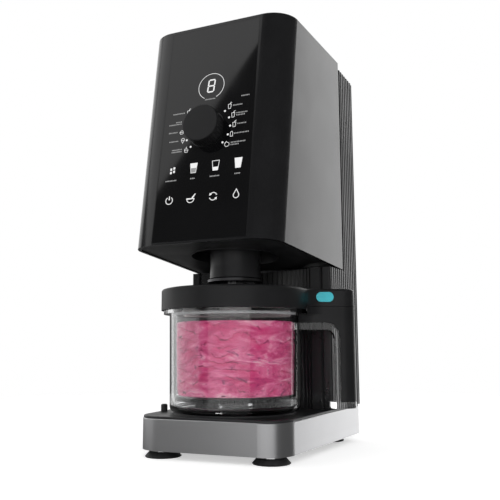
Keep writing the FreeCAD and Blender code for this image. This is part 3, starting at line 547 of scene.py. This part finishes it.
def make_panel_marks():
    """Everything that lights up or is printed on the glossy panel, raised by a coat of ink."""
    ink = 0.08
    symbols, captions, dim = Pen(ink), Pen(ink), Pen(ink)
    symbols.arc((0.0, RING_V), RING_RADIUS, -62, 242, 0.5, steps=72)
    captions.caption(-5.6, RING_V - RING_RADIUS - 0.2, 11.2)
    draw_digit(symbols)
    draw_programmes(symbols, captions)
    draw_cups(symbols, dim, captions)
    draw_touch_keys(symbols)
    symbols.finish("panel_symbols", lit_mark("symbol_light", 0.75))
    captions.finish("panel_captions", lit_mark("caption_light", 0.22))
    dim.finish("panel_dim_fill", lit_mark("dim_light", 0.16))


# ---------------------------------------------------------------- the ice cream

AROUND = 540
SIDE_ROWS = 170
TOP_ROWS = 40
FOOT_RADIUS = 56.0
EDGE_ROUNDING = 2.2
FOLD_REACH = 2.6
SWELL_REACH = 0.45
NOISE_SEED = 7


def smooth_step(low, high, value):
    t = min(1.0, max(0.0, (value - low) / (high - low)))
    return t * t * (3 - 2 * t)


def fold_at(point):
    """The churned side at a point in millimetres: its depth under the wall, and how much painted shade its
    creases get.

    The ice cream lies in layers that each sink slowly and end in a sharp lip, with short nicks between.
    """
    bent = point + noise.noise_vector(point * 0.03) * 10.0 + noise.noise_vector(point * 0.1) * 3.5
    bent += noise.noise_vector(point * 0.4) * 1.1
    layer = bent.z * 0.10 + 1.6 * noise.noise(bent * 0.022)
    slide = layer - math.floor(layer)
    strength = smooth_step(-0.3, 0.3, noise.noise(point * 0.05 + Vector((9.0, 3.0, 5.0))))
    lap = smooth_step(0.0, 0.95, slide) * smooth_step(1.0, 0.94, slide)
    lip = smooth_step(0.80, 0.94, slide) * smooth_step(1.0, 0.95, slide)
    ragged = smooth_step(-0.05, 0.35, noise.noise(point * 0.13))
    short = noise.noise(Vector((bent.x * 0.05 + 40, bent.y * 0.05, bent.z * 0.21)))
    nick = smooth_step(0.05, 0.0, abs(short)) * smooth_step(0.12, 0.4, noise.noise(point * 0.08))
    depth = 0.6 * lap * strength + 0.5 * nick
    # the second value is painted shade for the sharp lips and the nicks
    return min(1.0, depth), min(1.0, lip * strength * ragged + 0.9 * nick)


def make_ice_cream(material):
    """The churned block as it sits in the tub: a folded side against the wall and a swirled top."""
    low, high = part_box("ice_cream")
    centre = (low + high) / 2
    top_radius = (high.x - low.x) / 2 / MM
    height = (high.z - low.z) / MM
    angles = [math.tau * k / AROUND for k in range(AROUND)]
    # noise_vector takes its seed from the clock unless one is set
    noise.seed_set(NOISE_SEED)
    bm = bmesh.new()
    fold = bm.verts.layers.float.new("fold")
    crease_shade = bm.verts.layers.float.new("crease_shade")
    rings = []

    def corner(radius, angle, z):
        x = centre.x + radius * math.cos(angle) * MM
        y = centre.y + radius * math.sin(angle) * MM
        return bm.verts.new((x, y, z))

    def side_ring(share):
        edge = min(share, 1 - share) * height
        fade = min(1.0, edge / 1.5)
        bend = 1 - min(1.0, edge / EDGE_ROUNDING)
        rounding = EDGE_ROUNDING * (1 - math.sqrt(max(0.0, 1 - bend ** 2)))
        radius = FOOT_RADIUS + (top_radius - FOOT_RADIUS) * share - rounding
        z = share * height
        made = []
        for angle in angles:
            spot = Vector((math.cos(angle) * FOOT_RADIUS, math.sin(angle) * FOOT_RADIUS, z))
            depth, dark = (amount * fade for amount in fold_at(spot))
            swell = 0.5 + 0.5 * noise.fractal(spot * 0.09, 1.0, 2.0, 4)
            inward = FOLD_REACH * depth + SWELL_REACH * swell * fade
            vertex = corner(radius - inward, angle, low.z + z * MM)
            # dark is painted shade for the creases; the fold depth also paints the deeper hollows a hotter
            # magenta as shade
            vertex[fold], vertex[crease_shade] = depth, dark
            made.append(vertex)
        rings.append(made)

    def top_ring(share):
        made = []
        for angle in angles:
            swirl = math.sin(angle * 2 + share * 17.0)
            spot = Vector((math.cos(angle) * share * 9, math.sin(angle) * share * 9, 2.0))
            lumps = noise.fractal(spot, 1.0, 2.0, 4)
            sink = (1.4 + 1.2 * swirl + 0.7 * lumps) * smooth_step(1.0, 0.86, share)
            sink = max(0.0, sink)
            vertex = corner((top_radius - 2.6) * share, angle, high.z - sink * MM)
            # sunk parts of the top are painted a little hotter: painted shade in the dips
            vertex[fold] = 0.15 * sink / 3.3
            made.append(vertex)
        rings.append(made)

    for k in range(SIDE_ROWS + 1):
        side_ring(k / SIDE_ROWS)
    for k in range(1, TOP_ROWS):
        top_ring(1 - k / TOP_ROWS)
    for first, second in zip(rings, rings[1:]):
        for k in range(AROUND):
            n = (k + 1) % AROUND
            bm.faces.new((first[k], first[n], second[n], second[k]))
    bm.faces.new(list(reversed(rings[0])))
    bm.faces.new(rings[-1])
    for face in bm.faces:
        face.smooth = len(face.verts) == 4
    made = new_object("churned_ice_cream", bm, material, "bowl")
    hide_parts("ice_cream")
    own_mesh(made)


# ---------------------------------------------------------------- studio


def make_camera():
    """Low, close and to the right of the front, as a hand-held product view."""
    yaw, pitch, roll = math.radians(23.80), math.radians(8.34), math.radians(-0.24)
    ahead = Vector((-math.sin(yaw) * math.cos(pitch), math.cos(yaw) * math.cos(pitch), math.sin(pitch)))
    level = Vector((math.cos(yaw), math.sin(yaw), 0.0))
    upright = level.cross(ahead)
    right = level * math.cos(roll) + upright * math.sin(roll)
    up = upright * math.cos(roll) - level * math.sin(roll)
    data = bpy.data.cameras.new("camera")
    data.lens = 48.78
    data.sensor_width = 36.0
    data.clip_start = 0.02
    data.clip_end = 50.0
    made = bpy.data.objects.new("camera", data)
    bpy.context.scene.collection.objects.link(made)
    turn = Matrix((right, up, -ahead)).transposed().to_4x4()
    made.matrix_world = Matrix.Translation((0.26983, -0.63530, 0.09755)) @ turn
    bpy.context.scene.camera = made


def softbox(name, centre, across, up, width, height, radiance):
    """A rectangular softbox that shines along across x up, unseen by the camera itself."""
    data = bpy.data.lights.new(name, "AREA")
    data.shape = "RECTANGLE"
    data.size, data.size_y = width, height
    data.energy = radiance * math.pi * width * height
    made = bpy.data.objects.new(name, data)
    bpy.context.scene.collection.objects.link(made)
    across, up = across.normalized(), up.normalized()
    turn = Matrix((across, up, across.cross(up))).transposed().to_4x4()
    made.matrix_world = Matrix.Translation(centre) @ turn
    made.visible_camera = False
    return made


def wall_box(name, azimuth, spread, low, high, distance, radiance):
    """An upright softbox on a circle round the object that faces its middle, placed by azimuth in degrees."""
    middle = Vector((-0.01, -0.03, 0.0))
    outward = Vector((math.cos(math.radians(azimuth)), math.sin(math.radians(azimuth)), 0.0))
    width = 2 * distance * math.tan(math.radians(spread / 2))
    up = Vector((0, 0, 1))
    across = up.cross(outward)
    centre = middle + outward * distance + up * (low + high) / 2
    softbox(name, centre, across, up, width, high - low, radiance)


def slanted_box(name, foot, tip, target, width, radiance):
    """A tall softbox whose right-hand edge runs from foot to tip; it reaches to the left of that edge."""
    edge = tip - foot
    middle = (foot + tip) / 2
    towards = target - middle
    towards -= edge.normalized() * towards.dot(edge.normalized())
    across = edge.cross(-towards).normalized()
    softbox(name, middle - across * width / 2, across, edge, width, edge.length, radiance)


def soft_fill(name, azimuth, height, distance, width, tall, radiance):
    """A broad front light that only lifts matt surfaces: nothing mirrors it."""
    a, e = math.radians(azimuth), math.radians(height)
    outward = Vector((math.cos(a) * math.cos(e), math.sin(a) * math.cos(e), math.sin(e)))
    across = Vector((0, 0, 1)).cross(outward)
    made = softbox(name, outward * distance, across, outward.cross(across), width, tall, radiance)
    made.visible_glossy = False
    made.visible_transmission = False


def make_studio():
    """Softboxes all round. The black gaps between them make the dark bands in the gloss."""
    wall_box("light_left", 189.5, 83.0, -0.06, 0.36, 1.2, 0.75)
    wall_box("light_front", -76.2, 71.6, -0.30, 0.30, 1.25, 0.7)
    wall_box("light_back_right", 86.0, 56.0, -0.60, 1.30, 1.3, 1.6)
    wall_box("light_back_left", 146.0, 62.0, 0.30, 1.30, 1.3, 0.9)
    # the edge of this one is the slanting line between light and dark on the gloss panel
    foot, tip = Vector((-0.6196, -0.8904, 0.771)), Vector((-0.3566, -0.8054, 1.111))
    along = tip - foot
    slanted_box("light_high_left", foot - along * 0.9, tip + along * 0.6, Vector((0, 0, 0.3)), 1.3, 1.0)
    softbox("light_top", Vector((0.0, 0.05, 1.6)), Vector((1, 0, 0)), Vector((0, -1, 0)), 1.3, 1.3, 8.0)
    soft_fill("light_fill", -55.0, 22.0, 1.4, 1.8, 1.0, 3.6)


def make_floor():
    """A pale round floor that fades into the white room before its edge."""
    bm = bmesh.new()
    steps, radii = 96, (0.25, 0.6, 1.0, 1.5)
    corners = [on_circle((0, 0), 1, math.tau * k / steps) for k in range(steps)]
    middle = bm.verts.new((0, 0, 0))
    rings = [[bm.verts.new((radius * x, radius * y, 0)) for x, y in corners] for radius in radii]
    for k in range(steps):
        bm.faces.new((middle, rings[0][k], rings[0][(k + 1) % steps]))
        for inner, outer in zip(rings, rings[1:]):
            bm.faces.new((inner[k], outer[k], outer[(k + 1) % steps], inner[(k + 1) % steps]))
    mesh = bpy.data.meshes.new("floor")
    bm.to_mesh(mesh)
    bm.free()
    made = bpy.data.objects.new("floor", mesh)
    bpy.context.scene.collection.objects.link(made)
    paper = Shader("floor_paper", roughness=0.9, emission_strength=0.5)
    paper.surface.inputs["Emission Color"].default_value = (1.0, 1.0, 1.0, 1.0)
    paper.colour(paper.ramp(paper.noise(3.0), (0.3, (0.90, 0.90, 0.90)), (0.7, (0.93, 0.93, 0.93))))
    length = paper.node("ShaderNodeVectorMath", operation="LENGTH")
    paper.link(paper.place, length.inputs[0])
    paper.link(paper.between(length.outputs["Value"], 1.0, 0.0, 0.3, 0.95), paper.surface.inputs["Alpha"])
    mesh.materials.append(paper.material)
    made.visible_glossy = False


def make_world():
    """White where the camera looks past the object, and a dim room round it."""
    world = bpy.data.worlds.new("room")
    bpy.context.scene.world = world
    world.use_nodes = True
    tree = world.node_tree
    tree.nodes.clear()
    seen, room = tree.nodes.new("ShaderNodeBackground"), tree.nodes.new("ShaderNodeBackground")
    seen.inputs["Color"].default_value = (1.0, 1.0, 1.0, 1.0)
    room.inputs["Color"].default_value = (0.10, 0.10, 0.10, 1.0)
    path = tree.nodes.new("ShaderNodeLightPath")
    mix = tree.nodes.new("ShaderNodeMixShader")
    out = tree.nodes.new("ShaderNodeOutputWorld")
    tree.links.new(path.outputs["Is Camera Ray"], mix.inputs[0])
    tree.links.new(room.outputs[0], mix.inputs[1])
    tree.links.new(seen.outputs[0], mix.inputs[2])
    tree.links.new(mix.outputs[0], out.inputs["Surface"])
    bpy.context.scene.view_settings.view_transform = "Standard"


def main():
    make_camera()
    make_world()
    make_studio()
    make_floor()
    materials = make_materials()
    dress_nodes(materials)
    make_panel_marks()
    make_ice_cream(materials["berry_ice"])


main()
